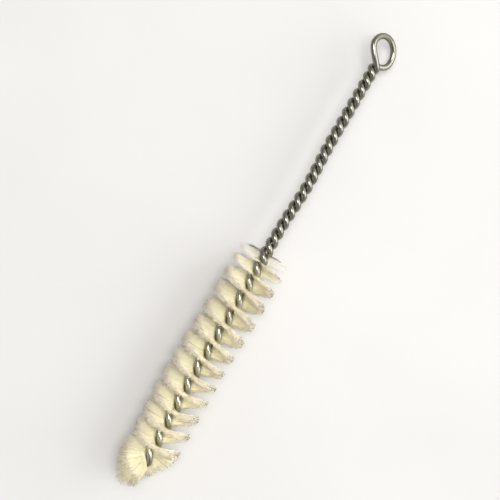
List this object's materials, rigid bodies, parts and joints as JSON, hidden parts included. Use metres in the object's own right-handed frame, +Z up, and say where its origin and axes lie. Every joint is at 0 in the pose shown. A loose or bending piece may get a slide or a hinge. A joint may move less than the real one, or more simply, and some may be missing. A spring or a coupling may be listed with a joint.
{
  "type": "test tube brush",
  "caption": "Test tube brush: a twisted wire handle folded into a hanging eye, gripping a helical strip of bristles that fans out at the tip.",
  "frame": {"origin": "bottom centre of the bounding box, on the surface the brush lies on", "axes": "+X along the brush axis towards the hanging eye, +Z up"},
  "size_m": [0.188, 0.0208, 0.0197],
  "materials": {
    "wire": "galvanised steel wire, drawn and slightly dull",
    "bristle": "fine cream filaments, matt"
  },
  "bodies": {
    "root": {"twisted_wire": "wire", "bristle_spiral": "bristle", "first_bristles": "bristle"}
  },
  "joints": []
}
